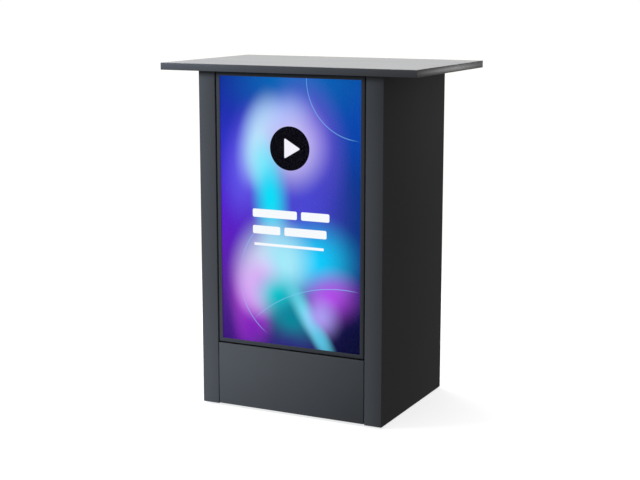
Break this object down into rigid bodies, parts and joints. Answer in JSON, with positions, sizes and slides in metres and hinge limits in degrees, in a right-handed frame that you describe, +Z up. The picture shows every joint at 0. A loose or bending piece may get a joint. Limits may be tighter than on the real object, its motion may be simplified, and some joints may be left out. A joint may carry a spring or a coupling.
{
  "type": "touchscreen kiosk",
  "caption": "Free-standing counter kiosk with a laminated top, a portrait touch display in its front, a lockable slotted service door, an inner shelf and levelling feet.",
  "frame": {"origin": "on the floor under the middle of the counter top", "axes": "+Z up; the display faces -Y; +X is to the right of someone facing the display"},
  "size_m": [0.974, 0.63, 1.237],
  "materials": {
    "powder_coat": "fine-textured anthracite powder coat, satin",
    "zinc_steel": "zinc-plated sheet steel",
    "laminate": "anthracite high-pressure laminate, satin",
    "edge_band": "anthracite edge band, satin",
    "board_core": "raw board core",
    "bezel": "anthracite coated display frame, satin",
    "cover_glass": "clear touch cover glass",
    "lcd": null,
    "diffuser": "white diffuser",
    "circuit_board": "green solder mask",
    "black_plastic": "black moulded plastic, fine texture",
    "rubber": "black rubber",
    "nickel": "nickel plate",
    "cable_jacket": "black cable jacket"
  },
  "bodies": {
    "cabinet": {"left_casing": "powder_coat", "right_casing": "powder_coat", "lower_front_panel": "powder_coat", "rear_header": "powder_coat", "rear_sill": "powder_coat", "shelf": "powder_coat", "base_pan": "zinc_steel", "top_rail_left": "zinc_steel", "top_rail_right": "zinc_steel", "crossbar_upper": "zinc_steel", "crossbar_lower": "zinc_steel", "mount_rail_left": "zinc_steel", "mount_rail_right": "zinc_steel", "backlight_tray": "zinc_steel", "player_bracket": "zinc_steel", "hinge_upper_frame_leaf": "zinc_steel", "hinge_lower_frame_leaf": "zinc_steel", "foot_nut_front_left": "zinc_steel", "foot_nut_front_right": "zinc_steel", "foot_nut_rear_left": "zinc_steel", "foot_nut_rear_right": "zinc_steel", "top_laminate": "laminate", "edge_band": "edge_band", "top_core": "board_core", "display_bezel": "bezel", "touch_glass": "cover_glass", "lcd_panel": "lcd", "diffuser_sheet": "diffuser", "display_driver_board": "circuit_board", "display_power_board": "circuit_board", "display_rear_cover": "black_plastic", "power_inlet": "black_plastic", "player_case": "black_plastic", "power_block": "black_plastic", "cable_clip_1": "black_plastic", "cable_clip_2": "black_plastic", "hinge_upper_pin": "nickel", "hinge_lower_pin": "nickel", "mains_lead": "cable_jacket", "display_lead": "cable_jacket", "player_lead": "cable_jacket", "video_lead": "cable_jacket"},
    "door": {"rear_door": "powder_coat", "door_stiffener": "zinc_steel", "hinge_upper_door_leaf": "zinc_steel", "hinge_lower_door_leaf": "zinc_steel", "lock_housing": "nickel", "lock_nut": "zinc_steel"},
    "lock": {"lock_barrel": "nickel", "lock_cam": "zinc_steel"},
    "foot_front_left": {"foot_pad_front_left": "rubber", "foot_spindle_front_left": "zinc_steel"},
    "foot_front_right": {"foot_pad_front_right": "rubber", "foot_spindle_front_right": "zinc_steel"},
    "foot_rear_left": {"foot_pad_rear_left": "rubber", "foot_spindle_rear_left": "zinc_steel"},
    "foot_rear_right": {"foot_pad_rear_right": "rubber", "foot_spindle_rear_right": "zinc_steel"},
    "mains_switch": {"inlet_switch": "black_plastic"},
    "power_button": {"player_button": "nickel"}
  },
  "joints": [
    {"name": "door_hinge", "type": "hinge", "parent": "cabinet", "child": "door", "pos_m": [0.309, 0.286, 0.625], "axis": [0, 0, -1], "range_deg": [0, 110]},
    {"name": "lock_turn", "type": "hinge", "parent": "door", "child": "lock", "pos_m": [-0.278, 0.28, 0.66], "axis": [0, 1, 0], "range_deg": [0, 90]},
    {"name": "foot_level_front_left", "type": "slide", "parent": "cabinet", "child": "foot_front_left", "axis": [0, 0, -1], "range_m": [0, 0.015]},
    {"name": "foot_level_front_right", "type": "slide", "parent": "cabinet", "child": "foot_front_right", "axis": [0, 0, -1], "range_m": [0, 0.015]},
    {"name": "foot_level_rear_left", "type": "slide", "parent": "cabinet", "child": "foot_rear_left", "axis": [0, 0, -1], "range_m": [0, 0.015]},
    {"name": "foot_level_rear_right", "type": "slide", "parent": "cabinet", "child": "foot_rear_right", "axis": [0, 0, -1], "range_m": [0, 0.015]},
    {"name": "mains_switch_rock", "type": "hinge", "parent": "cabinet", "child": "mains_switch", "pos_m": [-0.181, 0.2803, 0.046], "axis": [1, 0, 0], "range_deg": [0, 14]},
    {"name": "power_button_press", "type": "slide", "parent": "cabinet", "child": "power_button", "axis": [0, -1, 0], "range_m": [0, 0.0012], "stiffness_N_per_m": 400, "springref_m": -0.001}
  ]
}
